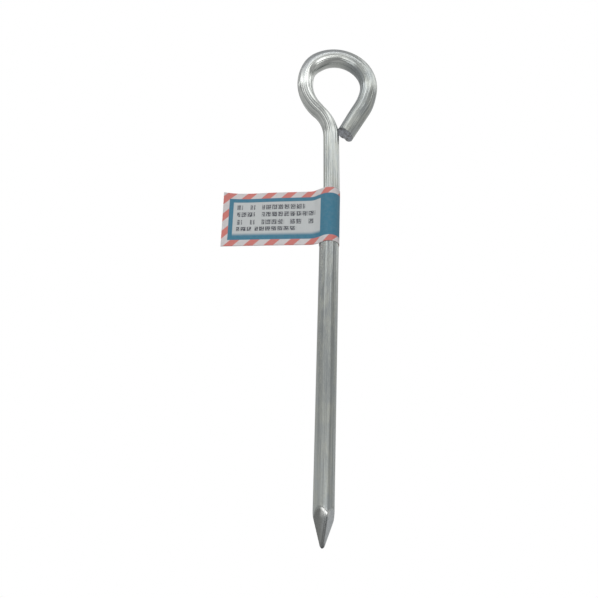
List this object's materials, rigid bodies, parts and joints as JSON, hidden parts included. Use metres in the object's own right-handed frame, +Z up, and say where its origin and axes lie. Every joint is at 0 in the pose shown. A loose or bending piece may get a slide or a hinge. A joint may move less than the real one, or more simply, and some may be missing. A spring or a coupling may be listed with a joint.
{
  "type": "tent stake",
  "caption": "Round steel ground stake with a four-sided point and an eye bent at its head, carrying a paper flag label wrapped round the shaft.",
  "frame": {"origin": "on the shaft's axis at the label's lower edge, which is the deepest ground line with the label on", "axes": "+Z up the shaft towards the eye, the eye in the XZ plane, the flag label towards -X, +Y the side the flag swings to"},
  "size_m": [0.062, 0.0092, 0.2205],
  "materials": {
    "zinc_plated_steel": "bright zinc plate over drawn steel, with fine drawing lines",
    "label_film": "printed label stock, satin",
    "label_adhesive": "clear tacky adhesive"
  },
  "bodies": {
    "root": {"peg_bar": "zinc_plated_steel", "label_strip": "label_film", "label_adhesive": "label_adhesive"}
  },
  "joints": []
}
